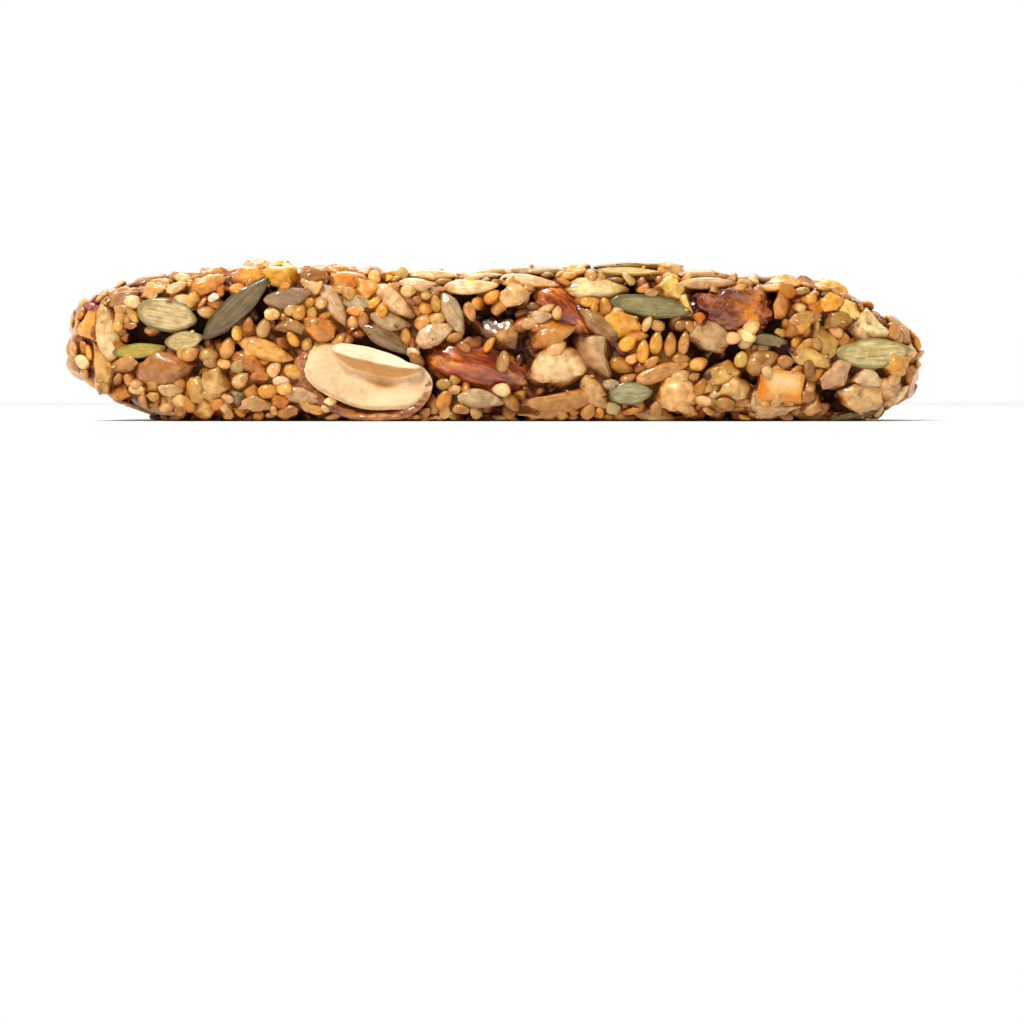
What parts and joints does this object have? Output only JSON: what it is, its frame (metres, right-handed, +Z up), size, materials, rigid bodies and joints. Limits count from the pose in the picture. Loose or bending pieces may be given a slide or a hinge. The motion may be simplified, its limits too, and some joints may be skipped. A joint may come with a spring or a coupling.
{
  "type": "nut bar",
  "caption": "Pressed finger-shaped bar of seeds, chopped nuts, whole almonds and date pieces bound with syrup, lying flat on its base.",
  "frame": {"origin": "on the flat base, at the middle of the bar's pressed outline", "axes": "+X along the bar, +Z up out of the base, -Y out of the cut front face"},
  "size_m": [0.131, 0.0373, 0.024],
  "materials": {
    "bound_seeds": "seeds and nuts glazed with syrup",
    "almond_skin": "satin brown almond skin",
    "almond_flesh": "cut cream almond flesh",
    "date_flesh": "sticky dark date"
  },
  "bodies": {
    "root": {"bar": "bound_seeds", "almond_cut": "almond_flesh", "almond_whole": "almond_skin", "almond_upper": "almond_skin", "almond_top": "almond_skin", "almond_back": "almond_skin", "date_front": "date_flesh", "date_top": "date_flesh", "date_back": "date_flesh"}
  },
  "joints": []
}
